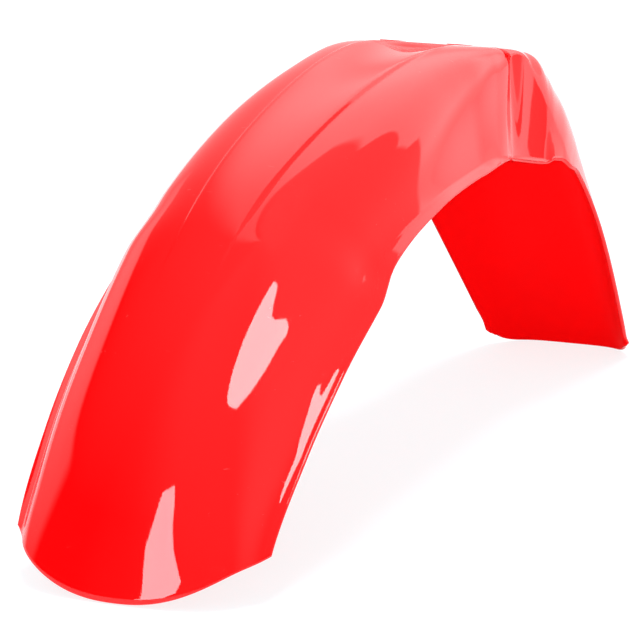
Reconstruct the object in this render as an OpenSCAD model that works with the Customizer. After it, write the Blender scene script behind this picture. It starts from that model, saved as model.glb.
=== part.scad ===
// Front mudguard of an off-road motorcycle, moulded in one piece.
// The nose points to -Y, the rider's side is +Y and +Z is up.
// The part stands as it would on a floor: on its nose tip and the end of its rear flap.
// All lengths are in millimetres and all angles in degrees.
// Every cross section hangs from one crown line, which is followed from the nose tip by its length s.

/* [Crown line] */
// Length of crown from the nose tip to the crease beside the fork legs
front_l = 625; // [600:5:650]
// Length of the flat seat under the fork clamp
seat_l = 39; // [36:1:50]
// Length over which the crown bends down behind the seat
bend_l = 116; // [100:2:130]
// Length of the straight rear flap
flap_l = 217; // [190:1:240]
// Slope of the crown at the nose tip
nose_a = 79; // [72:1:82]
// Downward slope of the seat towards the rear
seat_a = 14; // [10:1:18]
// Downward slope of the rear flap
flap_a = 66.5; // [60:0.5:70]

/* [Widths] */
// Width across the nose corners
nose_w = 198; // [180:2:210]
// Greatest width, at the notch in the lower edge
wide_w = 218; // [206:2:230]
// Width across the lower corners beside the fork legs
fork_w = 163; // [151:2:173]
// Width across the lower edge at the top of the rear flap
flap_w = 158; // [148:2:168]
// Width across the bottom corners of the rear flap
tail_w = 120; // [110:2:130]

/* [Depths] */
// How far the nose corners hang below the crown
nose_d = 34; // [28:1:40]
// Depth of the blade at the notch
cheek_d = 70; // [62:1:76]
// Depth of the sides beside the fork legs
fork_d = 80; // [74:1:86]
// Depth of the channel at the bottom of the rear flap
tail_d = 17; // [14:1:24]
// How far the nose corners lie behind the nose tip, along the crown
nose_back = 44; // [36:1:52]

/* [Brim and walls] */
// Sideways reach of the flared brim at the middle of the blade
brim_w = 24; // [18:1:28]
// How much wider each fork side is at its lower edge than at its top
fork_flare = 14.5; // [10:0.5:18]
// Flare of each wall of the rear flap
flap_flare = 16; // [12:0.5:20]
// How far each fork side steps in behind the crease
crease_in = 4; // [2:0.5:5]
// How far the lower end of the crease lies ahead of its upper end
crease_lean = 27; // [20:1:32]
// Length of the wedge behind the crease, along the lower edge
wedge_l = 21; // [16:1:24]
// Reach of the narrow flange that is turned out along the lower edge of the blade
lip_w = 4; // [2:0.5:5]
// Radius of the two bottom corners of the rear flap
corner_r = 13; // [8:1:14]
// Thickness of the moulding
wall = 3; // [2.4:0.1:3.4]

/* [Panel on top] */
// Distance between the two crest lines where they meet the seat
crest_w = 68; // [56:2:76]
// Distance between the two crest lines where they fade out towards the nose
crest_nose_w = 40; // [32:2:48]
// Height of the step along the crest lines
crest_step = 2; // [0.5:0.1:2.5]
// Length over which each crest steps down
crest_run = 3; // [2:0.5:5]
// How far the panel dips between the crests just before the seat
panel_dip = 4.5; // [2:0.5:5]

/* [Fork clamp seat] */
// Distance between the bolt holes across the part
bolt_x = 56; // [50:1:60]
// Distance between the bolt holes along the part
bolt_y = 42; // [38:1:46]
// How far the front bolt holes lie ahead of the crease
bolt_ahead = 11; // [9:1:12]
// Diameter of the bolt holes
bolt_d = 8.5; // [6.4:0.1:9]
// Diameter of the round pads that bear on the fork clamp
pad_d = 20; // [16:1:22]
// Height of the pads above the crown
pad_h = 1.2; // [0.8:0.1:2]
// Depth of the ribs and sleeves under the seat
rib_h = 6; // [4:0.5:8]
// Thickness of the ribs under the seat
rib_t = 2.2; // [1.6:0.1:3]

/* [Hidden] */
$fn = 48;

// Places along the crown line, also as a share of the blade, of the seat and bend, and of the flap
crease_s = front_l;
seat_end_s = crease_s + seat_l;
bend_end_s = seat_end_s + bend_l;
tail_s = bend_end_s + flap_l;
seat_mid_s = crease_s + bolt_y / 2 - bolt_ahead;
wall_s = crease_s + 1.1 * wedge_l;
ridge_end_s = bend_end_s - 0.1 * bend_l;
low_front_s = crease_s - crease_lean;
low_rear_s = low_front_s + wedge_l;
function on_blade(f) = f * crease_s;
function on_rear(f) = crease_s + f * (bend_end_s - crease_s);
function on_flap(f) = bend_end_s + f * flap_l;

// Slope of the crown against s: a steep nose, a long easing curve, the seat, the bend, the flap
bend_mid_a = (seat_a + flap_a) / 2 + 3;
heading = [
  [0, nose_a], [on_blade(0.144), 63.5], [on_blade(0.288), 48.5], [on_blade(0.432), 33.5],
  [on_blade(0.576), 19.5], [on_blade(0.72), 12], [on_blade(0.864), 2], [on_blade(0.96), 3 - seat_a],
  [crease_s, -seat_a], [seat_end_s, -seat_a - 1], [(seat_end_s + bend_end_s) / 2, -bend_mid_a],
  [bend_end_s, -flap_a], [tail_s, -flap_a]
];
// Half width at the lower edge
half_w = [
  [0, nose_w / 2], [on_blade(0.075), 1.02 * nose_w / 2], [on_blade(0.21), 1.01 * (nose_w + wide_w) / 4],
  [on_blade(0.32), 0.986 * wide_w / 2], [on_blade(0.453), wide_w / 2], [on_blade(0.52), 0.954 * wide_w / 2],
  [on_blade(0.69), 0.89 * wide_w / 2], [on_blade(0.825), 1.08 * fork_w / 2], [low_front_s, fork_w / 2],
  [low_rear_s, fork_w / 2 - crease_in], [on_rear(0.07), fork_w / 2 - 1.25 * crease_in],
  [on_rear(0.48), flap_w / 2], [ridge_end_s, 1.03 * flap_w / 2], [on_flap(0.045), 0.995 * flap_w / 2],
  [on_flap(0.35), 0.943 * flap_w / 2], [tail_s, tail_w / 2]
];
// Depth of the lower edge below the crown
depth = [
  [0, 0.76 * nose_d], [on_blade(0.075), nose_d], [on_blade(0.203), 0.515 * (nose_d + cheek_d)],
  [on_blade(0.328), 0.93 * cheek_d], [on_blade(0.453), cheek_d], [on_blade(0.49), 0.985 * cheek_d],
  [on_blade(0.535), 0.95 * cheek_d], [on_blade(0.59), 0.965 * cheek_d], [on_blade(0.69), 0.9 * fork_d],
  [on_blade(0.822), 1.01 * fork_d], [on_blade(0.872), 1.04 * fork_d], [on_blade(0.92), 1.03 * fork_d],
  [low_front_s, 1.01 * fork_d], [on_rear(0.07), 1.02 * fork_d], [on_rear(0.26), 1.025 * fork_d],
  [on_rear(0.48), 0.99 * fork_d], [on_rear(0.775), 0.87 * fork_d], [ridge_end_s, 0.795 * fork_d],
  [on_flap(0.023), 0.65 * fork_d], [on_flap(0.21), 0.485 * fork_d], [on_flap(0.415), 0.39 * fork_d],
  [on_flap(0.963), tail_d]
];
// How far the edge runs ahead of (minus) or behind (plus) its own crown point. The jump at the crease
// opens the narrow wedge that leads from the side of the blade to the wall beside the fork leg.
lead = [
  [0, nose_back], [on_blade(0.192), 0.68 * nose_back], [on_blade(0.416), 0.09 * nose_back],
  [on_blade(0.64), 0], [on_blade(0.8), -0.22 * crease_lean], [crease_s, -crease_lean],
  [crease_s + 1, wedge_l - crease_lean], [wall_s, 0.7 * wedge_l - crease_lean],
  [on_rear(0.48), -0.37 * crease_lean], [on_rear(0.935), 0], [on_flap(0.55), 0],
  [tail_s, -0.3 * crease_lean]
];
// Squareness of the cross section: 2 is an ellipse, high values are boxy
square = [
  [0, 2.7], [on_blade(0.32), 1.95], [on_blade(0.61), 2.6], [on_blade(0.816), 4], [on_blade(0.96), 8],
  [crease_s, 11], [seat_end_s, 10], [on_rear(0.48), 4.5], [on_rear(0.68), 3.6],
  [on_flap(0.09), 4], [tail_s, 4]
];
// Direction in the cross section of the ridge where the arch meets the flat wall beside the fork leg
ridge = [
  [0, 45], [crease_s, 45], [on_rear(0.116), 43], [on_rear(0.174), 45.5], [on_rear(0.24), 50],
  [on_rear(0.31), 55.5], [on_rear(0.413), 62], [on_rear(0.548), 68], [on_rear(0.71), 76],
  [ridge_end_s, 87], [on_flap(0.023), 87], [on_flap(0.23), 55], [tail_s, 55]
];
// Sideways reach of the brim or flare
flare = [
  [0, 0.5 * brim_w], [on_blade(0.096), 0.67 * brim_w], [on_blade(0.4), brim_w],
  [on_blade(0.53), 0.54 * brim_w], [on_blade(0.72), 0.23 * brim_w],
  [on_blade(0.896), 0.65 * fork_flare], [crease_s, fork_flare],
  [wall_s, 0.76 * fork_flare], [on_rear(0.48), 0.83 * fork_flare], [bend_end_s, 1.12 * flap_flare],
  [tail_s, flap_flare]
];
// Reach and height of the narrow flange or lip that ends every side
lip = [
  [0, 0], [on_blade(0.43), 0], [on_blade(0.53), lip_w], [on_blade(0.864), lip_w],
  [on_blade(0.984), 0.3 * lip_w], [tail_s, 0.3 * lip_w]
];
lip_h = [[0, lip_w], [on_blade(0.92), lip_w], [crease_s, 0.375 * lip_w], [tail_s, 0.375 * lip_w]];
// How late in the depth the flare starts: 1 is a straight lean, high values a narrow brim
late = [
  [0, 4], [on_blade(0.32), 4.6], [on_blade(0.48), 4.6], [on_blade(0.672), 6], [on_blade(0.864), 5],
  [on_blade(0.952), 1.8], [crease_s, 1.3], [tail_s, 1.2]
];
// Share of the lead that follows the depth instead of the width
share = [[0, 0], [on_blade(0.096), 0], [on_blade(0.56), 1], [tail_s, 1]];
// Half distance between the crests, height of their step and dip of the panel between them
crest = [
  [0, crest_nose_w / 2], [on_blade(0.36), crest_nose_w / 2], [on_blade(0.64), (crest_nose_w + crest_w) / 4],
  [on_blade(0.936), crest_w / 2], [crease_s, 1.03 * crest_w / 2], [tail_s, 0.88 * crest_w / 2]
];
step_h = [
  [0, 0], [on_blade(0.336), 0], [on_blade(0.528), 0.6 * crest_step], [on_blade(0.688), crest_step],
  [on_blade(0.8), crest_step], [on_blade(0.933), 0], [tail_s, 0]
];
dip = [[0, 0], [on_blade(0.72), 0], [on_blade(0.942), panel_dip], [on_blade(0.957), 0], [tail_s, 0]];

// Smooth line through a list of [place, value] pairs that never overshoots them
function clamp(v, a, b) = max(a, min(b, v));
function seg(k, s, i = 0) = (i >= len(k) - 2 || s < k[i + 1][0]) ? i : seg(k, s, i + 1);
function gap(k, i) = k[i + 1][0] - k[i][0];
function grade(k, i) = (k[i + 1][1] - k[i][1]) / gap(k, i);
function bend_at(k, i) =
  i == 0 ? grade(k, 0) :
  i == len(k) - 1 ? grade(k, i - 1) :
  grade(k, i - 1) * grade(k, i) <= 0 ? 0 :
  3 * (gap(k, i - 1) + gap(k, i)) /
  ((2 * gap(k, i) + gap(k, i - 1)) / grade(k, i - 1) + (gap(k, i) + 2 * gap(k, i - 1)) / grade(k, i));
function rail(k, s0) =
  let(s = clamp(s0, k[0][0], k[len(k) - 1][0]), i = seg(k, s), h = gap(k, i), t = (s - k[i][0]) / h)
  (2 * t * t * t - 3 * t * t + 1) * k[i][1] + (t * t * t - 2 * t * t + t) * h * bend_at(k, i)
  + (3 * t * t - 2 * t * t * t) * k[i + 1][1] + (t * t * t - t * t) * h * bend_at(k, i + 1);

// Crown line, walked in short steps of its slope
walk = 2.5;
walk_n = ceil(tail_s / walk) + 2;
crown = [
  for (i = 0, p = [0, 0]; i <= walk_n;
    p = p + walk * [cos(rail(heading, (i + 0.5) * walk)), sin(rail(heading, (i + 0.5) * walk))], i = i + 1) p
];
function crown_at(s) =
  let(u = clamp(s / walk, 0, walk_n - 1), i = floor(u))
  crown[i] + (u - i) * (crown[i + 1] - crown[i]);

// Point at crown place s, x from the middle and d below the crown
function hang(s, x, d) =
  let(c = crown_at(s), a = rail(heading, s)) [x, c[0] + d * sin(a), c[1] - d * cos(a)];

// Columns across one half: the panel, the crest step, then shoulder, side and brim
panel_n = 3;
arch_n = 6;
flank_n = 5;
half_n = panel_n + 1 + arch_n + flank_n + 1;

// Everything one cross section needs
function section_of(s) =
  let(e = s + rail(lead, s))
  [s, rail(lead, s), rail(half_w, e) - rail(lip, s), rail(depth, e), rail(square, s), rail(flare, s),
    rail(late, s), rail(share, s), rail(crest, s), rail(step_h, s), rail(dip, s), rail(ridge, s),
    rail(lip, s), rail(lip_h, s), s > crease_s + 0.5 && s < ridge_end_s ? 1 : 0];
// Size of the section box's outline in a direction, and how far down the outline is there
function size_in(r, p) = pow(pow(sin(r), p) + pow(cos(r), p), 1 / p);
function down_in(r, p) = 1 - cos(r) / size_in(r, p);
// Direction that passes through a share f of the flat top, or through a share f of the depth left below
function ray_to(f, p) = atan2(f, pow(1 - pow(f, p), 1 / p));
function ray_low(f, p) = atan2(pow(1 - pow(f, p), 1 / p), f);
function ray_of(q, j) =
  let(
    top = q[2] - q[5],
    a = ray_to(min(0.9, q[8] / top), q[4]),
    b = ray_to(min(0.95, (q[8] + crest_run) / top), q[4]),
    low = ray_low(q[13] / q[3], q[4]),
    k = j - panel_n - 1
  )
  j <= panel_n ? a * j / panel_n :
  k <= arch_n ? b + (max(q[11], b + 1) - b) * k / arch_n :
  k < half_n - panel_n - 1 ? q[11] + (low - q[11]) * (k - arch_n) / flank_n : 90;
// Behind the crease the arch is cut by a flat wall, from the ridge down to the edge
function on_section(q, j, side) =
  let(
    r = ray_of(q, j),
    n = size_in(r, q[4]),
    down = down_in(r, q[4]),
    ridge_down = down_in(q[11], q[4]),
    ridge_x = q[2] - q[5] * (1 - ridge_down),
    arch_w = ridge_x * size_in(q[11], q[4]) / sin(q[11]) - q[5] * pow(ridge_down, q[6]),
    top = q[14] > 0 ? arch_w : q[2] - q[5],
    on_wall = q[14] > 0 && r > q[11],
    body_x = on_wall ? q[2] - q[5] * (1 - down) : (sin(r) / n) * (top + q[5] * pow(down, q[6])),
    x = body_x + (j == half_n ? q[12] : 0),
    u = x / (q[2] + q[12]),
    on_panel = j <= panel_n ? 1 : 0,
    lift = on_panel * (q[9] - q[10] * max(0, 1 - pow(x / q[8], 2))),
    v = clamp((q[3] * (down - 1) + corner_r) / corner_r, 0, 1),
    cut = clamp(1 + (q[0] - tail_s) / (3 * corner_r), 0, 1) * corner_r * (1 - sqrt(1 - v * v)),
    run = q[1] * ((1 - q[7]) * pow(u, 2.3) + q[7] * down) - cut
  )
  hang(q[0] + run, side * x, q[3] * down - lift);

// Places of the cross sections
blade_n = 37;
bend_n = 12;
flap_n = 8;
stations = concat(
  [for (i = [0:blade_n]) on_blade(0.942 * i / blade_n)],
  [on_blade(0.957), on_blade(0.979), crease_s, crease_s + 1, crease_s + wedge_l / 2, wall_s],
  [for (i = [0:bend_n - 1]) seat_end_s + (bend_end_s - seat_end_s) * i / bend_n],
  [for (i = [0:flap_n]) bend_end_s + (tail_s - bend_end_s) * i / flap_n]
);
rows = len(stations);
cols = 2 * half_n + 1;

// Outer skin, and the inner skin one wall thickness inside it
skin = [
  for (s = stations) let(q = section_of(s))
  [for (j = [-half_n:half_n]) on_section(q, abs(j), j < 0 ? -1 : 1)]
];
function out_of(i, j) =
  let(
    a = skin[i][min(cols - 1, j + 1)] - skin[i][max(0, j - 1)],
    b = skin[min(rows - 1, i + 1)][j] - skin[max(0, i - 1)][j],
    c = cross(a, b)
  )
  c / norm(c);
lining = [for (i = [0:rows - 1]) [for (j = [0:cols - 1]) skin[i][j] - wall * out_of(i, j)]];

// The middle of the length goes to y = 0 and the lowest point to z = 0
all_y = [for (g = [skin, lining]) for (r = g) for (p = r) p[1]];
all_z = [for (g = [skin, lining]) for (r = g) for (p = r) p[2]];
mid_y = (min(all_y) + max(all_y)) / 2;
low_z = min(all_z);

// The moulded shell: two skins joined by a rim all round
module shell() {
  n = rows * cols;
  points = concat([for (r = skin) for (p = r) p], [for (r = lining) for (p = r) p]);
  faces = concat(
    [for (i = [0:rows - 2]) for (j = [0:cols - 2]) let(a = i * cols + j)
      for (t = [[a, a + cols, a + cols + 1], [a, a + cols + 1, a + 1]]) t],
    [for (i = [0:rows - 2]) for (j = [0:cols - 2]) let(a = n + i * cols + j)
      for (t = [[a, a + cols + 1, a + cols], [a, a + 1, a + cols + 1]]) t],
    [for (i = [0:rows - 2]) let(a = i * cols, b = a + cols)
      for (t = [[a, a + n, b + n], [a, b + n, b]]) t],
    [for (i = [0:rows - 2]) let(a = i * cols + cols - 1, b = a + cols)
      for (t = [[a, b, b + n], [a, b + n, a + n]]) t],
    [for (j = [0:cols - 2]) for (t = [[j, j + 1, j + 1 + n], [j, j + 1 + n, j + n]]) t],
    [for (j = [0:cols - 2]) let(a = (rows - 1) * cols + j)
      for (t = [[a, a + n, a + 1 + n], [a, a + 1 + n, a + 1]]) t]
  );
  polyhedron(points = points, faces = faces, convexity = 8);
}

// Frame of the seat: its origin is on the crown, +Z is square to the seat
seat_c = crown_at(seat_mid_s);
module on_seat() {
  translate([0, seat_c[0], seat_c[1]]) rotate([-seat_a, 0, 0]) children();
}
module at_bolts() {
  for (x = [-bolt_x / 2, bolt_x / 2])
    for (y = [-bolt_y / 2, bolt_y / 2])
      translate([x, y, 0]) children();
}

// Pads that bear on the fork clamp, with a sleeve under each
module pads() {
  at_bolts() translate([0, 0, -wall - 1]) cylinder(d = pad_d, h = wall + 1 + pad_h);
  at_bolts() translate([0, 0, -wall - rib_h]) cylinder(d = 0.75 * pad_d, h = rib_h + 1);
}
// Ribs under the seat, through the lines of the bolts
rib_len = bolt_y + 0.7 * pad_d;
rib_wide = bolt_x + 0.7 * pad_d;
module ribs() {
  for (x = [-bolt_x / 2, 0, bolt_x / 2])
    translate([x - rib_t / 2, -rib_len / 2, -wall - rib_h + 1]) cube([rib_t, rib_len, rib_h]);
  for (y = [-bolt_y / 2, bolt_y / 2])
    translate([-rib_wide / 2, y - rib_t / 2, -wall - rib_h + 1]) cube([rib_wide, rib_t, rib_h]);
}
module bolt_holes() {
  at_bolts() translate([0, 0, -wall - rib_h - 2]) cylinder(d = bolt_d, h = wall + rib_h + pad_h + 4);
}

module mudguard() {
  color([0.86, 0.02, 0.02])
  translate([0, -mid_y, -low_z])
  difference() {
    union() {
      shell();
      on_seat() pads();
      on_seat() ribs();
    }
    on_seat() bolt_holes();
  }
}

mudguard();
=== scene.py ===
"""Front mudguard of an off-road motorcycle: one glossy red polypropylene moulding on a white floor.

The nose points to -Y, the rider's side is +Y and +Z is up. Blender works in metres;
the moulding's own sizes are given in millimetres, as its maker would give them.
"""

import math

import bpy
import numpy as np
from mathutils import Matrix, Vector


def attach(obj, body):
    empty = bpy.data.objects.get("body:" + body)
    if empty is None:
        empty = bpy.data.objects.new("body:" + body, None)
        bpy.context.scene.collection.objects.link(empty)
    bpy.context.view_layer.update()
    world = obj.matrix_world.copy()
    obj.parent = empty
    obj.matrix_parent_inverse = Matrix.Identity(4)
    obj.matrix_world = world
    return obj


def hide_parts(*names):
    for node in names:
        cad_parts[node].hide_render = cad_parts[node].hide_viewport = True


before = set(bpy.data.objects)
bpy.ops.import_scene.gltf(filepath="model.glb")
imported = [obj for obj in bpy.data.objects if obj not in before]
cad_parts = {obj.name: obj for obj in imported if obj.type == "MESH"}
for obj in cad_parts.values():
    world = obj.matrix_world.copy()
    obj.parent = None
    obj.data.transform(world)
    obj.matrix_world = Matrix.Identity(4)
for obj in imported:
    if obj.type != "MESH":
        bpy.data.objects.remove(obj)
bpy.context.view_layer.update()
scene = bpy.context.scene

# Camera
# A long lens about 3.6 m away, thirty degrees round from the nose towards the near side
# and fifteen degrees up, held three degrees off level as in the photograph.
CAMERA_PLACE = (1.72756, -3.04008, 1.04691)
CAMERA_RIGHT = (0.871612, 0.487584, -0.050553)
CAMERA_UP = (-0.083908, 0.250005, 0.964603)
CAMERA_BACK = (0.482963, -0.836516, 0.258819)
SENSOR, LENS = 36.0, 281.25
FARTHEST = 60.0

lens = bpy.data.cameras.new("camera")
lens.sensor_width = SENSOR
lens.lens = LENS
lens.clip_end = FARTHEST
camera = bpy.data.objects.new("camera", lens)
scene.collection.objects.link(camera)
turn = Matrix((CAMERA_RIGHT, CAMERA_UP, CAMERA_BACK)).transposed()
camera.matrix_world = Matrix.Translation(CAMERA_PLACE) @ turn.to_4x4()
scene.camera = camera
scene.view_settings.view_transform = "Standard"

# Moulded shell
# The body of the mudguard is one injection-moulded skin, 3 mm thick, that hangs from a
# crown line: a blunt nose, a long rising blade, the seat under the fork clamp and the
# walled flap behind it. Its lower edge is turned out into a brim and rounded over.
FRONT, SEAT, BEND, FLAP = 625.0, 39.0, 116.0, 217.0
WALL = 3.0
SEAT_END = FRONT + SEAT
BEND_END = SEAT_END + BEND
TAIL = BEND_END + FLAP
RIDGE_END = BEND_END - 12
# The crease's step is this long on the crown line, and the wall behind it starts halfway
STEP = 1.0
# Where the nose tip's crown lies: this far ahead of the middle, and so high over the floor
MID_Y, LOW_Z = 346.906, -1.086

# Slope of the crown in degrees, by the length walked from the nose tip
HEADING = [(0, 79), (90, 63.5), (180, 48.5), (270, 33.5), (360, 19.5), (450, 12), (540, 2),
           (600, -11), (FRONT, -14), (SEAT_END, -15), (722, -43.25), (BEND_END, -66.5), (TAIL, -66.5)]
# Half width at the lower edge, and depth of that edge below the crown
HALF_WIDTH = [(0, 99), (46, 101), (130, 105), (200, 107.5), (283, 109), (325, 104), (430, 97),
              (516, 88.6), (598, 81.2), (619, 77.5), (636, 76.5), (700, 79), (RIDGE_END, 81.5),
              (790, 78.5), (856, 74.5), (TAIL, 60)]
DEPTH = [(0, 26), (46, 34), (127, 53.5), (205, 65), (283, 70), (305, 69), (335, 66.5), (370, 67.5),
         (430, 72), (514, 81), (545, 83), (575, 82.5), (598, 81), (636, 81.5),
         (665, 82), (700, 79), (745, 69.5), (RIDGE_END, 63.5),
         (785, 52), (825, 39), (870, 31), (TAIL - 8, 17)]
# How far the edge runs behind (plus) or ahead of (minus) its own crown point. The jump at the
# crease opens the narrow wedge between the side of the blade and the wall beside the fork leg.
LEAD = [(0, 44), (120, 30), (260, 4), (400, 0), (500, -6), (FRONT, -27), (FRONT + STEP, -6),
        (FRONT + 23, -12), (700, -10), (770, 0), (900, 0), (TAIL, -8)]
LEAD_BY_DEPTH = [(0, 0), (60, 0), (350, 1), (TAIL, 1)]
LEAD_BEND = 2.3
# Squareness of the section, reach of the brim, and how late in the depth the brim turns out
SQUARENESS = [(0, 2.7), (200, 1.95), (380, 2.6), (510, 4), (600, 8), (FRONT, 11), (SEAT_END, 10),
              (700, 4.5), (730, 3.6), (800, 4), (TAIL, 4)]
BRIM = [(0, 12), (60, 15), (250, 16), (290, 15.5), (340, 11), (450, 5.5), (560, 9.5), (FRONT, 14.5),
        (FRONT + 23, 11), (700, 12), (780, 18), (TAIL, 16)]
BRIM_LATE = [(0, 5), (130, 8), (300, 10), (370, 7.5), (450, 4.2), (520, 2.8), (600, 1.8), (FRONT, 1.4),
             (TAIL, 1.2)]
# Direction in the section of the ridge where the arch meets the flat wall beside the fork leg
RIDGE = [(0, 45), (FRONT, 45), (643, 43), (652, 45.5), (662, 50), (673, 55.5), (689, 62),
         (710, 68), (735, 76), (RIDGE_END, 87), (785, 87), (830, 55), (TAIL, 55)]
# Reach and height of the narrow flange, or lip, that ends every side
LIP = [(0, 0), (270, 0), (330, 4), (540, 4), (615, 1.2), (TAIL, 1.2)]
LIP_HEIGHT = [(0, 4), (575, 4), (FRONT, 1.5), (TAIL, 1.5)]
# Radius of the flap's two corners, and how far ahead of the end their cut begins
CORNER = 13.0
CORNER_RUN = 3 * CORNER
# The two crests: half their distance, height of their step, dip of the panel between them
CREST = [(0, 20), (225, 20), (400, 27), (585, 34), (FRONT, 35), (TAIL, 30)]
CREST_STEP = [(0, 0), (210, 0), (330, 1.2), (430, 2), (500, 2), (583, 0), (TAIL, 0)]
CREST_RUN = 3.0
PANEL_DIP = [(0, 0), (450, 0), (589, 4.5), (598, 0), (TAIL, 0)]
# Reach of the half round that ends the wall at its rim
RIM_REACH = 1.2

# Rows of the mesh as (start, end, spacing), closer where the crease and the rounded corners are,
# and its columns over half the panel, the crest's step, the arch, the side and the lip
ROWS = ((0, 560, 4.4), (560, FRONT - 2, 2.5), (FRONT - 2, FRONT, 0.5), (FRONT, FRONT + STEP, 0.1),
        (FRONT + STEP, SEAT_END, 1.6), (SEAT_END, BEND_END, 2.6), (BEND_END, TAIL - 40, 5),
        (TAIL - 40, TAIL, 2.5))
COLUMNS = (8, 5, 20, 24, 4)
# Points along the crown line, and the length of it that is worked out beyond both ends
CROWN_POINTS, SPARE = 4000, 60


def rail(pairs, s):
    """Smooth line through (place, value) pairs that never overshoots them."""
    x, y = np.array(pairs, float).T
    step = np.diff(x)
    grade = np.diff(y) / step
    slope = np.zeros(len(x))
    slope[0], slope[-1] = grade[0], grade[-1]
    for i in range(1, len(x) - 1):
        if grade[i - 1] * grade[i] > 0:
            a, b = 2 * step[i] + step[i - 1], step[i] + 2 * step[i - 1]
            slope[i] = (a + b) / (a / grade[i - 1] + b / grade[i])
    s = np.clip(s, x[0], x[-1])
    i = np.clip(np.searchsorted(x, s, side="right") - 1, 0, len(x) - 2)
    t = (s - x[i]) / step[i]
    return ((2 * t**3 - 3 * t**2 + 1) * y[i] + (t**3 - 2 * t**2 + t) * step[i] * slope[i]
            + (3 * t**2 - 2 * t**3) * y[i + 1] + (t**3 - t**2) * step[i] * slope[i + 1])


walked = np.linspace(-SPARE, TAIL + SPARE, CROWN_POINTS)
bearing = np.radians(rail(HEADING, walked))
gap = walked[1] - walked[0]
crown_y = np.concatenate([[0], np.cumsum((np.cos(bearing[1:]) + np.cos(bearing[:-1])) / 2 * gap)])
crown_z = np.concatenate([[0], np.cumsum((np.sin(bearing[1:]) + np.sin(bearing[:-1])) / 2 * gap)])
crown_y += -np.interp(0, walked, crown_y) - MID_Y
crown_z += -np.interp(0, walked, crown_z) - LOW_Z


def crown(s):
    """y, z and slope (radians) of the crown line at place s."""
    return tuple(np.interp(s, walked, line) for line in (crown_y, crown_z, bearing))


def easing(t):
    """Soft change from 0 to 1 as t goes from 0 to 1."""
    t = np.clip(t, 0, 1)
    return t * t * (3 - 2 * t)


def outer_skin(s, columns):
    """Points of the outer skin: s holds one place a row, columns the counts across half of it."""
    s = s[:, None]
    lead, lip = rail(LEAD, s), rail(LIP, s)
    width, depth = rail(HALF_WIDTH, s + lead) - lip, rail(DEPTH, s + lead)
    square, brim, late = rail(SQUARENESS, s), rail(BRIM, s), rail(BRIM_LATE, s)
    crest, step, dip = rail(CREST, s), rail(CREST_STEP, s), rail(PANEL_DIP, s)
    by_depth, ridge = rail(LEAD_BY_DEPTH, s), rail(RIDGE, s)
    walled = (s > FRONT + STEP / 2) & (s < RIDGE_END)

    def outline(rays):
        """Across and down on a superellipse of unit size, in the directions rays."""
        across, under = np.sin(np.radians(rays)), np.cos(np.radians(rays))
        size = (across**square + under**square) ** (1 / square)
        return across / size, 1 - under / size

    def ray_to(across):
        """Direction of the outline's point that lies so far across."""
        return np.degrees(np.arctan2(across, (1 - across**square) ** (1 / square)))

    def spread(a, b, count):
        """Directions from a on towards b, without b itself."""
        return a + (b - a) * np.arange(count)[None] / count

    top = width - brim
    panel_end = ray_to(np.minimum(0.9, crest / top))
    step_end = ray_to(np.minimum(0.95, (crest + CREST_RUN) / top))
    low = 90 - ray_to(rail(LIP_HEIGHT, s) / depth)
    middle, edge = 0 * low, 90 + 0 * low
    panel_n, step_n, arch_n, side_n, lip_n = columns
    half = np.hstack([spread(middle, panel_end, panel_n), spread(panel_end, step_end, step_n),
                      spread(step_end, np.maximum(ridge, step_end + 1), arch_n),
                      spread(ridge, low, side_n), spread(low, edge, lip_n), edge])
    rays = np.hstack([half[:, :0:-1], half])
    side = np.sign(np.arange(rays.shape[1]) - half.shape[1] + 1)

    # Behind the crease the arch is cut by a flat wall, from the ridge down to the edge
    across, down = outline(rays)
    ridge_across, ridge_down = outline(ridge)
    arch = (width - brim * (1 - ridge_down)) / ridge_across - brim * ridge_down**late
    x = across * (np.where(walled, arch, top) + brim * down**late)
    x = np.where(walled & (rays > ridge), width - brim * (1 - down), x)
    x = x + lip * np.clip((rays - low) / (90 - low), 0, 1)
    lift = np.where(x <= crest, step - dip * np.maximum(0, 1 - (x / crest) ** 2),
                    step * (1 - easing((x - crest) / CREST_RUN)))

    # The edge's lead, and the two rounded corners at the end of the flap
    near_edge = np.clip((depth * (down - 1) + CORNER) / CORNER, 0, 1)
    near_end = np.clip(1 + (s - TAIL) / CORNER_RUN, 0, 1)
    cut = near_end * CORNER * (1 - np.sqrt(1 - near_edge * near_edge))
    run = lead * ((1 - by_depth) * (x / (width + lip)) ** LEAD_BEND + by_depth * down) - cut
    y, z, a = crown(s + run)
    hang = depth * down - lift
    return np.stack([side * x, y + hang * np.sin(a), z - hang * np.cos(a)], -1)


def rows_between(*stretches):
    """Places of the rows from stretches of (start, end, spacing)."""
    places = [np.arange(a, b, (b - a) / max(1, round((b - a) / d))) for a, b, d in stretches]
    return np.append(np.concatenate(places), stretches[-1][1])


def outward(grid):
    """Unit normals of a grid of points, pointing out of the moulding."""
    n = np.cross(np.gradient(grid, axis=1), np.gradient(grid, axis=0))
    return n / np.linalg.norm(n, axis=-1, keepdims=True)


def grid_faces(rows, cols, first=0, flip=False):
    """Four-sided faces of a grid of points, whose numbers begin at first."""
    i, j = np.mgrid[0:rows - 1, 0:cols - 1]
    a = (i * cols + j + first).ravel()
    quads = np.stack([a, a + 1, a + cols + 1, a + cols], 1)
    return quads[:, ::-1] if flip else quads


skin = outer_skin(rows_between(*ROWS), COLUMNS)
rows, cols = skin.shape[:2]
out = outward(skin)
lining = skin - WALL * out

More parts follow.
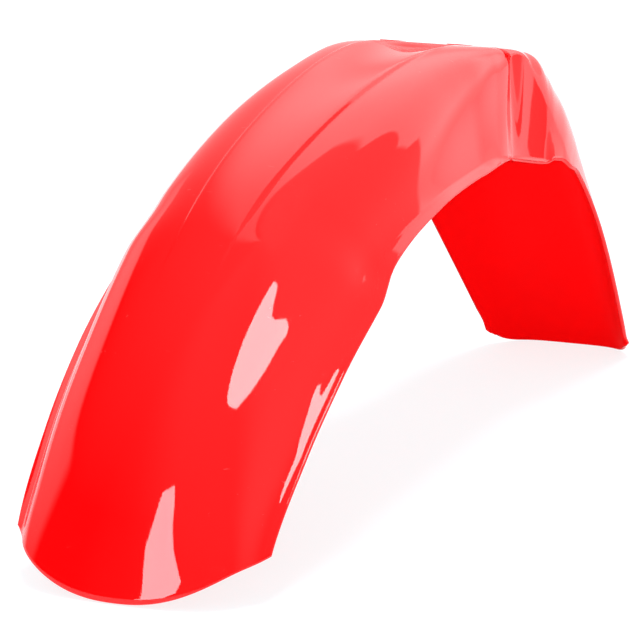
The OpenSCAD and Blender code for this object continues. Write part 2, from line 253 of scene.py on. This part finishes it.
# The rim goes round the border of both skins, as a half round of the wall's thickness
loop = ([(0, j) for j in range(cols)] + [(i, cols - 1) for i in range(1, rows)]
        + [(rows - 1, j) for j in range(cols - 2, -1, -1)] + [(i, 0) for i in range(rows - 2, 0, -1)])
rim_row, rim_col = np.array(loop).T
edge, edge_out = skin[rim_row, rim_col], out[rim_row, rim_col]
along = np.roll(edge, -1, 0) - np.roll(edge, 1, 0)
away = np.cross(along, edge_out)
away /= np.linalg.norm(away, axis=1, keepdims=True)
INWARD = 3
inside = skin[np.clip(rim_row, INWARD, rows - 1 - INWARD), np.clip(rim_col, INWARD, cols - 1 - INWARD)]
away *= np.sign(((edge - inside) * away).sum(1, keepdims=True))
edge_in = edge - away * RIM_REACH
skin[rim_row, rim_col] = edge_in
lining[rim_row, rim_col] = edge_in - WALL * edge_out
arc = []
for angle in np.radians((30, 60, 90, 120, 150)):
    sunk = WALL / 2 * (1 - math.cos(angle))
    arc.append(edge_in - edge_out * sunk + away * RIM_REACH * math.sin(angle))

skin_points = rows * cols
rim_points = len(loop)
points = np.concatenate([skin.reshape(-1, 3), lining.reshape(-1, 3)] + arc) / 1000
on_skin = rim_row * cols + rim_col
rings = [2 * skin_points + k * rim_points + np.arange(rim_points) for k in range(len(arc))]
rings = [on_skin] + rings + [skin_points + on_skin]
faces = [grid_faces(rows, cols), grid_faces(rows, cols, skin_points, flip=True)]
for a, b in zip(rings[:-1], rings[1:]):
    faces.append(np.stack([a, b, np.roll(b, -1), np.roll(a, -1)], 1))


def new_piece(name, corners, outlines):
    """An object in the scene with a mesh of these corners, and of faces with these outlines."""
    mesh = bpy.data.meshes.new(name)
    mesh.from_pydata([tuple(p) for p in corners], [], [tuple(int(v) for v in q) for q in outlines])
    mesh.validate()
    piece = bpy.data.objects.new(name, mesh)
    scene.collection.objects.link(piece)
    return piece


def face_outwards(mesh):
    """Turns every face of a closed mesh outwards by the sign of its volume."""
    co = np.array([v.co for v in mesh.vertices])
    mesh.calc_loop_triangles()
    tri = np.array([t.vertices for t in mesh.loop_triangles])
    if np.einsum("ij,ij->i", co[tri[:, 0]], np.cross(co[tri[:, 1]], co[tri[:, 2]])).sum() < 0:
        mesh.flip_normals()


shell = new_piece("mudguard_moulding", points, np.concatenate(faces))
face_outwards(shell.data)

# Red polypropylene
# Polypropylene coloured right through and moulded against a polished cavity: a saturated red body under
# a glassy skin. The skin mirrors lamps sharply, but waves a little where the melt flowed and shrank.
RED, RED_DEEPER, RED_SCUFFED = "#FF0305", "#F60306", "#FF6A6A"
RED_MATT, RED_DULLER = "#FF0609", "#FA0508"
PLASTIC_IOR = 1.49
# Noise scales are features per metre; depths are in metres
FLOW, WAVES, PEEL = 8.0, 22.0, 650.0
WAVE_DEPTH, PEEL_DEPTH = 0.00009, 0.0000012
GRAIN, PATCHES, GRAIN_DEPTH = 1600.0, 40.0, 0.00001
SCUFF_LIE, SCUFF_SCALE = (0.5, 0.3, 0.9), (16.0, 420.0, 420.0)
SCUFF_FROM, SCUFF_TO = 0.74, 0.79
POLISH, SCUFF_ROUGHNESS, SCUFF_PALE = 0.03, 0.18, 0.2


def linear(hex_colour):
    """sRGB hex to the linear values that the shader takes."""
    out = []
    for i in (1, 3, 5):
        c = int(hex_colour[i:i + 2], 16) / 255
        out.append(c / 12.92 if c <= 0.04045 else ((c + 0.055) / 1.055) ** 2.4)
    return (*out, 1.0)


def add(tree, kind, sockets=(), **settings):
    """Adds a node with its settings. A dict fills its inputs by name, a list in their order,
    each with a number or a colour, or with the node or socket that is linked to it."""
    node = tree.nodes.new(kind)
    for key, value in settings.items():
        setattr(node, key, value)
    for key, value in (sockets.items() if isinstance(sockets, dict) else enumerate(sockets)):
        if isinstance(value, bpy.types.Node):
            value = value.outputs[0]
        if isinstance(value, bpy.types.NodeSocket):
            tree.links.new(value, node.inputs[key])
        else:
            node.inputs[key].default_value = value
    return node


def empty_nodes(owner):
    """The node tree of a material or a world, with nothing in it."""
    owner.use_nodes = True
    owner.node_tree.nodes.clear()
    return owner.node_tree


red = bpy.data.materials.new("moulded_polypropylene_red")
tree = empty_nodes(red)
on_part = add(tree, "ShaderNodeTexCoord").outputs["Object"]
# The melt's flow: patches about 120 mm across that are a shade deeper
flow = add(tree, "ShaderNodeTexNoise", {"Vector": on_part, "Scale": FLOW, "Detail": 2.0, "Roughness": 0.5})
tone = add(tree, "ShaderNodeMix", {
    "Factor": flow, "A": linear(RED), "B": linear(RED_DEEPER)}, data_type="RGBA")
# Shrinkage leaves waves about 45 mm long and under a tenth of a millimetre high, and the polish
# leaves a peel 1.5 mm fine
waves = add(tree, "ShaderNodeTexNoise", {"Vector": on_part, "Scale": WAVES, "Detail": 1.0, "Roughness": 0.4})
wavy = add(tree, "ShaderNodeBump", {"Strength": 1.0, "Distance": WAVE_DEPTH, "Height": waves})
peel = add(tree, "ShaderNodeTexNoise", {"Vector": on_part, "Scale": PEEL, "Detail": 2.0})
peeled = add(tree, "ShaderNodeBump", {
    "Strength": 1.0, "Distance": PEEL_DEPTH, "Height": peel, "Normal": wavy})
# A few short scuffs from handling, drawn up to 1 mm wide, which is wider than real, so that they show
lie = add(tree, "ShaderNodeMapping", {"Vector": on_part, "Rotation": SCUFF_LIE, "Scale": SCUFF_SCALE})
hairs = add(tree, "ShaderNodeTexNoise", {
    "Vector": lie, "Scale": 1.0, "Detail": 2.0, "Roughness": 0.45, "Distortion": 0.6})
gloss_loss = add(tree, "ShaderNodeMapRange", {
    "Value": hairs, "From Min": SCUFF_FROM, "From Max": SCUFF_TO,
    "To Min": POLISH, "To Max": SCUFF_ROUGHNESS})
pale = add(tree, "ShaderNodeMapRange", {
    "Value": hairs, "From Min": SCUFF_FROM, "From Max": SCUFF_TO, "To Min": 0.0, "To Max": SCUFF_PALE})
scuffed = add(tree, "ShaderNodeMix", {
    "Factor": pale, "A": tone.outputs["Result"], "B": linear(RED_SCUFFED)}, data_type="RGBA")
shader = add(tree, "ShaderNodeBsdfPrincipled", {
    "Base Color": scuffed.outputs["Result"], "Roughness": 0.35, "Normal": wavy,
    "IOR": PLASTIC_IOR, "Specular IOR Level": 0.0,
    "Coat Weight": 1.0, "Coat IOR": PLASTIC_IOR, "Coat Roughness": gloss_loss, "Coat Normal": peeled})
add(tree, "ShaderNodeOutputMaterial", {"Surface": shader})

# The inner face comes off the unpolished core of the mould: the same red, but matt, so it keeps its
# full colour where the outer face is hazed by the room. It has a fine erosion grain of about 0.6 mm,
# and patches 25 mm across where the melt cooled a little duller.
inner = bpy.data.materials.new("moulded_polypropylene_red_inner_face")
tree = empty_nodes(inner)
on_part = add(tree, "ShaderNodeTexCoord").outputs["Object"]
grain = add(tree, "ShaderNodeTexNoise", {"Vector": on_part, "Scale": GRAIN, "Detail": 1.0})
grained = add(tree, "ShaderNodeBump", {"Strength": 1.0, "Distance": GRAIN_DEPTH, "Height": grain})
patches = add(tree, "ShaderNodeTexNoise", {"Vector": on_part, "Scale": PATCHES, "Detail": 2.0})
matt = add(tree, "ShaderNodeMix", {
    "Factor": patches, "A": linear(RED_MATT), "B": linear(RED_DULLER)}, data_type="RGBA")
shader = add(tree, "ShaderNodeBsdfPrincipled", {
    "Base Color": matt.outputs["Result"], "Roughness": 0.5, "IOR": PLASTIC_IOR, "Specular IOR Level": 0.02,
    "Normal": grained})
add(tree, "ShaderNodeOutputMaterial", {"Surface": shader})

shell.data.materials.append(red)
shell.data.materials.append(inner)
skin_faces = len(faces[0])
for face in shell.data.polygons:
    if skin_faces <= face.index < 2 * skin_faces:
        face.material_index = 1

# Bolt seat
# Four round pads, 0.15 mm high, bear on the fork clamp. Under each hangs a sleeve for its bolt, and thin
# ribs tie the sleeves together. All are moulded in one with the skin, and pins in the mould form the holes.
BOLT_ACROSS, BOLT_ALONG, BOLT_AHEAD, BOLT_D = 56.0, 42.0, 11.0, 8.5
PAD_D, PAD_H, PAD_DRAFT = 20.0, 0.15, 0.3
SLEEVE_D, SLEEVE_DRAFT = 15.0, 0.2
RIB_T, RIB_H, RIB_PAST_BOLTS = 2.2, 6.0, 7.0
SEAT_SLOPE = -14.0
ROUND_SIDES = 72
# How far the pads, sleeves and ribs bite into the skin, and the pins stand out of it at both ends
BITE, PIN_SPARE = 1.0, 2.0
# Edges sharper than this stay crisp, up to so far outside the pads
CRISP_ANGLE, CRISP_MARGIN = 40.0, 1.0

seat_y, seat_z, _ = crown(FRONT + BOLT_ALONG / 2 - BOLT_AHEAD)
seat = (Matrix.Translation((0, seat_y / 1000, seat_z / 1000))
        @ Matrix.Rotation(math.radians(SEAT_SLOPE), 4, "X") @ Matrix.Scale(0.001, 4))


def new_tree(name, labels):
    """A Geometry Nodes tree with a named number input for each label, and one for the material."""
    tree = bpy.data.node_groups.new(name, "GeometryNodeTree")
    tree.interface.new_socket("Geometry", in_out="OUTPUT", socket_type="NodeSocketGeometry")
    keys = {}
    for label in labels:
        kind = "NodeSocketMaterial" if label == "Material" else "NodeSocketFloat"
        keys[label] = tree.interface.new_socket(label, in_out="INPUT", socket_type=kind).identifier
    return tree, keys, add(tree, "NodeGroupInput").outputs


def close_tree(tree, size, places, shape, height):
    """Copies of the shape on the places, lifted to the height, made real and given the material."""
    lift = add(tree, "ShaderNodeCombineXYZ", {"Z": height})
    shape = add(tree, "GeometryNodeTransform", {"Geometry": shape, "Translation": lift})
    copies = add(tree, "GeometryNodeInstanceOnPoints", {"Points": places, "Instance": shape})
    real = add(tree, "GeometryNodeRealizeInstances", {"Geometry": copies})
    coloured = add(tree, "GeometryNodeSetMaterial", {"Geometry": real, "Material": size["Material"]})
    add(tree, "NodeGroupOutput", [coloured])


def grown(tree, keys, place, **values):
    """Object with the mesh that the tree gives for these sizes, set in its place."""
    holder = bpy.data.objects.new(tree.name, bpy.data.meshes.new(tree.name))
    scene.collection.objects.link(holder)
    nodes = holder.modifiers.new("nodes", "NODES")
    nodes.node_group = tree
    for label, value in values.items():
        nodes[keys[label.replace("_", " ")]] = value
    mesh = bpy.data.meshes.new_from_object(holder.evaluated_get(bpy.context.evaluated_depsgraph_get()))
    holder.modifiers.remove(nodes)
    holder.data = mesh
    mesh.transform(place)
    return holder


# Drafted rounds at the four bolts, and bars side by side
bosses, boss_keys, size = new_tree("bosses_at_bolts", (
    "Across", "Along", "Top radius", "Foot radius", "Foot height", "Length", "Material"))
bolts = add(bosses, "GeometryNodeMeshGrid", {
    "Size X": size["Across"], "Size Y": size["Along"], "Vertices X": 2, "Vertices Y": 2})
cone = add(bosses, "GeometryNodeMeshCone", {
    "Vertices": ROUND_SIDES, "Radius Top": size["Top radius"], "Radius Bottom": size["Foot radius"],
    "Depth": size["Length"]})
close_tree(bosses, size, bolts, cone, size["Foot height"])

bars, bar_keys, size = new_tree("ribs_side_by_side", (
    "Count", "First", "Spacing", "Thickness", "Length", "Depth", "Middle height", "Material"))
first = add(bars, "ShaderNodeCombineXYZ", {"X": size["First"]})
spacing = add(bars, "ShaderNodeCombineXYZ", {"X": size["Spacing"]})
line = add(bars, "GeometryNodeMeshLine", {"Count": size["Count"], "Start Location": first, "Offset": spacing})
block = add(bars, "ShaderNodeCombineXYZ", [size["Thickness"], size["Length"], size["Depth"]])
bar = add(bars, "GeometryNodeMeshCube", {"Size": block})
close_tree(bars, size, line, bar, size["Middle height"])

at_bolts = {"Across": BOLT_ACROSS, "Along": BOLT_ALONG}
pads = grown(bosses, boss_keys, seat, **at_bolts, Top_radius=PAD_D / 2 - PAD_DRAFT, Foot_radius=PAD_D / 2,
             Foot_height=-WALL - BITE, Length=WALL + BITE + PAD_H, Material=red)
sleeves = grown(bosses, boss_keys, seat, **at_bolts, Top_radius=SLEEVE_D / 2,
                Foot_radius=SLEEVE_D / 2 - SLEEVE_DRAFT, Foot_height=-WALL - RIB_H, Length=RIB_H + BITE,
                Material=inner)
ribs = {"Thickness": RIB_T, "Depth": RIB_H, "Middle_height": BITE - WALL - RIB_H / 2, "Material": inner}
ribs_along = grown(bars, bar_keys, seat, Count=3.0, First=-BOLT_ACROSS / 2, Spacing=BOLT_ACROSS / 2,
                   Length=BOLT_ALONG + 2 * RIB_PAST_BOLTS, **ribs)
seat_turned = seat @ Matrix.Rotation(math.radians(90), 4, "Z")
ribs_across = grown(bars, bar_keys, seat_turned, Count=2.0, First=-BOLT_ALONG / 2, Spacing=BOLT_ALONG,
                    Length=BOLT_ACROSS + 2 * RIB_PAST_BOLTS, **ribs)
pins = grown(bosses, boss_keys, seat, **at_bolts, Top_radius=BOLT_D / 2, Foot_radius=BOLT_D / 2,
             Foot_height=-WALL - RIB_H - PIN_SPARE, Length=WALL + RIB_H + PAD_H + 2 * PIN_SPARE,
             Material=inner)
for tool in (pads, sleeves, ribs_along, ribs_across, pins):
    joint = shell.modifiers.new(tool.name, "BOOLEAN")
    joint.operation = "DIFFERENCE" if tool is pins else "UNION"
    joint.solver = "MANIFOLD"
    joint.material_mode = "TRANSFER"
    joint.object = tool
moulding = bpy.data.meshes.new_from_object(shell.evaluated_get(bpy.context.evaluated_depsgraph_get()))
shell.modifiers.clear()
shell.data = moulding
for tool in (pads, sleeves, ribs_along, ribs_across, pins):
    bpy.data.objects.remove(tool)

# Edges of the pads, ribs and holes stay crisp; the skin itself is smooth all over
from_seat = np.array([v.co for v in moulding.vertices]) - np.array(seat.translation)
from_seat = np.abs(from_seat @ np.array(seat.to_3x3().normalized())) * 1000
near_seat = ((from_seat[:, 0] < (BOLT_ACROSS + PAD_D) / 2 + CRISP_MARGIN)
             & (from_seat[:, 1] < (BOLT_ALONG + PAD_D) / 2 + CRISP_MARGIN))
for face in moulding.polygons:
    face.use_smooth = True
moulding.set_sharp_from_angle(angle=math.radians(CRISP_ANGLE))
sharp = moulding.attributes["sharp_edge"].data
for crease in moulding.edges:
    if sharp[crease.index].value and not near_seat[list(crease.vertices)].all():
        sharp[crease.index].value = False

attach(shell, "root")
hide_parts("mudguard")

# Floor
# A seamless sheet of matt white paper, a little darker where the moulding keeps the light off it. The camera
# sees it white; gloss and clear things see it white near the moulding, and further off a painted reflection.
FLOOR_HALF = 6.0
PAPER, WHITE = "#DBEFF8", "#FFFFFF"
# Share of the paper that shines by itself, and how strongly it does so towards the camera
GLOW_SHARE, CAMERA_GLOW = 0.7, 1.14
# Its glow is 1 up to the first distance, and beyond the second one it is the level at that place, a
# painted reflection: dim ahead of the moulding's middle and bright far behind it
FALL_FROM, FALL_TO = 0.6, 1.8
BRIGHT_AT_Y, DIM_LEVEL, BRIGHT_LEVEL = 1.6, 0.35, 1.6

corners = [(x * FLOOR_HALF, y * FLOOR_HALF, 0) for x, y in ((-1, -1), (1, -1), (1, 1), (-1, 1))]
floor = new_piece("floor", corners, [range(4)])
paper = bpy.data.materials.new("matt_white_paper")
tree = empty_nodes(paper)
place = add(tree, "ShaderNodeTexCoord").outputs["Object"]
distance = add(tree, "ShaderNodeVectorMath", [place], operation="LENGTH").outputs["Value"]
behind = add(tree, "ShaderNodeSeparateXYZ", [place]).outputs["Y"]
# Painted reflection for the gloss: the far glow is dimmed ahead of the moulding and raised far behind it
painted_reflection_far_level = add(tree, "ShaderNodeMapRange", {
    "Value": behind, "From Min": 0.0, "From Max": BRIGHT_AT_Y, "To Min": DIM_LEVEL, "To Max": BRIGHT_LEVEL},
    interpolation_type="SMOOTHSTEP")
level = add(tree, "ShaderNodeMapRange", {
    "Value": distance, "From Min": FALL_FROM, "From Max": FALL_TO, "To Min": 1.0, "To Max": painted_reflection_far_level},
    interpolation_type="SMOOTHSTEP")
ray = add(tree, "ShaderNodeLightPath").outputs
seen = add(tree, "ShaderNodeMath", [ray["Is Camera Ray"], CAMERA_GLOW], operation="MULTIPLY")
strength = add(tree, "ShaderNodeMath", [seen, level], operation="MAXIMUM")
clear = add(tree, "ShaderNodeMath", [ray["Is Glossy Ray"], ray["Is Transmission Ray"]], operation="MAXIMUM")
white_for = add(tree, "ShaderNodeMath", [ray["Is Camera Ray"], clear], operation="MAXIMUM")
share = add(tree, "ShaderNodeMath", [white_for, GLOW_SHARE], operation="MULTIPLY")
diffuse = add(tree, "ShaderNodeBsdfDiffuse", {"Color": linear(PAPER)})
glow = add(tree, "ShaderNodeEmission", {"Color": linear(WHITE), "Strength": strength})
mix = add(tree, "ShaderNodeMixShader", [share, diffuse, glow])
add(tree, "ShaderNodeOutputMaterial", {"Surface": mix})
floor.data.materials.append(paper)

# Studio
# A pale room with a large soft box behind the moulding. Only the gloss sees them; everything else is lit by
# a plain white world, at a level where a colour renders about as it is written.
PLAIN_LEVEL = 0.83
# Levels of the gloss: the lit room, its darkest part, and the soft box
ROOM_LEVEL, DARK_LEVEL, SOFT_BOX_LEVEL = 0.78, 0.02, 1.6
# The room's light grows in two steps from the nose round to the near side, by these shares
FRONT_SHARE, SIDE_SHARE = 0.34, 0.66
# Above this height in degrees the dark side gets paler, by so much a degree
PALER_FROM, PALER_BY = 16, 0.0075
# The soft box's top drops beyond a place on the far side, and its foot rises towards the near side
TOP_DROPS_AT, TOP_DROP, FOOT_RISE = -17, -0.45, 1.2

world = bpy.data.worlds.new("studio")
scene.world = world
tree = empty_nodes(world)
looking = add(tree, "ShaderNodeTexCoord").outputs["Generated"]
x, y, z = add(tree, "ShaderNodeSeparateXYZ", [looking]).outputs

# Directions in degrees. Azimuth is 0 at the nose side and 90 at the near side; from_back is 0 behind,
# 90 at the near side and -90 at the far side
ahead = add(tree, "ShaderNodeMath", [y, -1.0], operation="MULTIPLY")
azimuth = add(tree, "ShaderNodeMath", [x, ahead], operation="ARCTAN2")
azimuth = add(tree, "ShaderNodeMath", [azimuth], operation="DEGREES")
from_back = add(tree, "ShaderNodeMath", [x, y], operation="ARCTAN2")
from_back = add(tree, "ShaderNodeMath", [from_back], operation="DEGREES")
height = add(tree, "ShaderNodeMath", [z], operation="ARCSINE")
height = add(tree, "ShaderNodeMath", [height], operation="DEGREES")

# Measures that the soft box's slanted edges follow
slanted = add(tree, "ShaderNodeMath", [from_back, height], operation="ADD")
past_drop = add(tree, "ShaderNodeMath", [TOP_DROPS_AT, from_back], operation="SUBTRACT")
past_drop = add(tree, "ShaderNodeMath", [0.0, past_drop], operation="MAXIMUM")
under_top = add(tree, "ShaderNodeMath", [past_drop, TOP_DROP, height], operation="MULTIPLY_ADD")
towards_near = add(tree, "ShaderNodeMath", [0.0, from_back], operation="MAXIMUM")
over_foot = add(tree, "ShaderNodeMath", [towards_near, FOOT_RISE, height], operation="MULTIPLY_ADD")

# Each edge in the room: what it is measured by, where it starts and ends, and its levels there
edges = {}
for name, measure, start, end, start_level, end_level in (
        ("near front", azimuth, -42, -5, 0, 1), ("near side", azimuth, 45, 92, 0, 1),
        ("behind", from_back, -76, -30, 0, 1), ("behind, near end", from_back, 135, 88, 0, 1),
        ("box slant", slanted, 78.5, 76.5, 0, 1), ("box left", slanted, -18, 2, 0, 1),
        ("box top", under_top, 61.5, 59, 0, 1), ("box foot", over_foot, 8, 38, 0.1, 1),
        ("box right, kicked out", height, 27, 20, 0, 5), ("box low down", height, -2, 9, 0.5, 1),
        ("box fading to the far side", from_back, -60, 0, 0.55, 1),
        ("band, near end", azimuth, -66, -78, 0, 1), ("band, far end", azimuth, -140, -120, 0, 1),
        ("band top", height, 21.5, 18.5, 0, 1), ("band height", height, -2, 18, 0.35, 0.85)):
    edges[name] = add(tree, "ShaderNodeMapRange", {
        "Value": measure, "From Min": start, "From Max": end, "To Min": start_level, "To Max": end_level},
        interpolation_type="SMOOTHSTEP")
kicked = add(tree, "ShaderNodeMath", [from_back, edges["box right, kicked out"]], operation="ADD")
edges["box right"] = add(tree, "ShaderNodeMapRange", {"Value": kicked, "From Min": 42, "From Max": 40},
                         interpolation_type="SMOOTHSTEP")

# The room as the gloss sees it: dark low on the far side and round the nose, and paler overhead
# and on the near side
side_lit = add(tree, "ShaderNodeMath", [edges["near side"], SIDE_SHARE], operation="MULTIPLY")
near_lit = add(tree, "ShaderNodeMath", [edges["near front"], FRONT_SHARE, side_lit], operation="MULTIPLY_ADD")
back_lit = add(tree, "ShaderNodeMath", [edges["behind"], edges["behind, near end"]], operation="MULTIPLY")
lit = add(tree, "ShaderNodeMath", [near_lit, back_lit], operation="MAXIMUM")
over_paler = add(tree, "ShaderNodeMath", [height, PALER_FROM], operation="SUBTRACT")
dark = add(tree, "ShaderNodeMath", [over_paler, PALER_BY], operation="MULTIPLY")
dark = add(tree, "ShaderNodeMath", [dark, DARK_LEVEL], operation="MAXIMUM")
room = add(tree, "ShaderNodeMix", {"Factor": lit, "A": dark, "B": ROOM_LEVEL})

# The soft box is added to the room. It is brightest towards the near side and fades at its foot
soft_box = SOFT_BOX_LEVEL
for name in ("box slant", "box right", "box top", "box left", "box fading to the far side", "box foot",
             "box low down"):
    soft_box = add(tree, "ShaderNodeMath", [soft_box, edges[name]], operation="MULTIPLY")
gloss = add(tree, "ShaderNodeMath", [room, soft_box], operation="ADD")

# Low on the far side the edge of the white sheet shows as a paler band
band = edges["band height"]
for name in ("band, near end", "band, far end", "band top"):
    band = add(tree, "ShaderNodeMath", [band, edges[name]], operation="MULTIPLY")
gloss = add(tree, "ShaderNodeMath", [gloss, band], operation="MAXIMUM")

ray = add(tree, "ShaderNodeLightPath").outputs
plain_world = add(tree, "ShaderNodeBackground", {"Color": linear(WHITE), "Strength": PLAIN_LEVEL})
gloss_world = add(tree, "ShaderNodeBackground", {"Color": linear(WHITE), "Strength": gloss})
mix = add(tree, "ShaderNodeMixShader", [ray["Is Glossy Ray"], plain_world, gloss_world])
add(tree, "ShaderNodeOutputWorld", {"Surface": mix})

# Lamps
# Two studio lamps with shaped diffusers show only in the gloss, as the two bright windows on the blade.
# Two soft ones light the shade without showing, and a dim card that only the gloss sees paints a dark
# reflection on the wall beside the fork leg.
SIDE_WINDOW = [(90.6, 39.7), (91.5, 40.5), (88.6, 45.2), (80, 52), (77, 55), (77.3, 58.2), (80, 62.2),
               (77.7, 65.4), (76.2, 66.3), (62.2, 64.6), (46.6, 60.1), (41, 58), (36.5, 54.2), (37, 52.8),
               (40.2, 51.5), (49, 49.5), (72.6, 46.1)]
FRONT_WINDOW = [(-11, 34), (-10.6, 30.2), (-12.2, 23.4), (-12.5, 18.6), (-10.5, 11.8), (-13.4, 8.3), (-16, 4),
                (-18, -3), (-29, -3), (-26.2, 4.2), (-25, 14.6), (-18.2, 30.2)]
# Outline of a dim card that paints a dark reflection on the wall beside the fork leg
DARK_REFLECTION_OUTLINE = [(145.0, -3.0), (152.4, -3.7), (152.4, -6.6), (145.0, -6.6)]


def direction(azimuth, height):
    """Unit vector from an azimuth (0 is the nose side, 90 the near side) and a height, in degrees."""
    a, h = math.radians(azimuth), math.radians(height)
    return np.array([math.sin(a) * math.cos(h), -math.cos(a) * math.cos(h), math.sin(h)])


def gloss_card(name, seen_from, reach, outline, level, colour):
    """A card that only gloss sees. Its outline is in (azimuth, height), seen from a place on the moulding."""
    corners = [np.array(seen_from) + reach * direction(*corner) for corner in outline]
    card = new_piece(name, corners, [range(len(corners))])
    for ray in ("camera", "diffuse", "transmission", "volume_scatter", "shadow"):
        setattr(card, "visible_" + ray, False)
    cloth = bpy.data.materials.new(name + "_cloth")
    tree = empty_nodes(cloth)
    glow = add(tree, "ShaderNodeEmission", {"Color": linear(colour), "Strength": level})
    add(tree, "ShaderNodeOutputMaterial", {"Surface": glow})
    card.data.materials.append(cloth)


def soft_lamp(name, size, watts, place, aim):
    """A square lamp that lights the scene and shows in no reflection."""
    light = bpy.data.lights.new(name, "AREA")
    light.size = size
    light.energy = watts
    lamp = bpy.data.objects.new(name, light)
    lamp.location = place
    lamp.rotation_euler = (Vector(aim) - Vector(place)).to_track_quat("-Z", "Y").to_euler()
    lamp.visible_glossy = False
    lamp.visible_transmission = False
    scene.collection.objects.link(lamp)


gloss_card("side_lamp", (0.06, -0.23, 0.16), 3.0, SIDE_WINDOW, level=13.5, colour="#FFFCFF")
gloss_card("front_lamp", (0.04, -0.33, 0.05), 3.0, FRONT_WINDOW, level=10.5, colour="#FFF9FF")
# Overhead, for the faint shadow under the arch, and low in front, for the shaded inner face of the flap
soft_lamp("overhead", size=0.6, watts=28.0, place=(0.1, 0.0, 1.7), aim=(0.1, 0.0, 0.0))
soft_lamp("low_fill", size=1.2, watts=34.0, place=(1.0, -2.2, 0.3), aim=(0.0, 0.25, 0.12))
# A painted dark reflection: a dim card, seen only in the gloss, darkens the wall beside the fork leg
gloss_card("painted_dark_reflection", (0.072, 0.16, 0.23), 2.0, DARK_REFLECTION_OUTLINE, level=0.35, colour=WHITE)
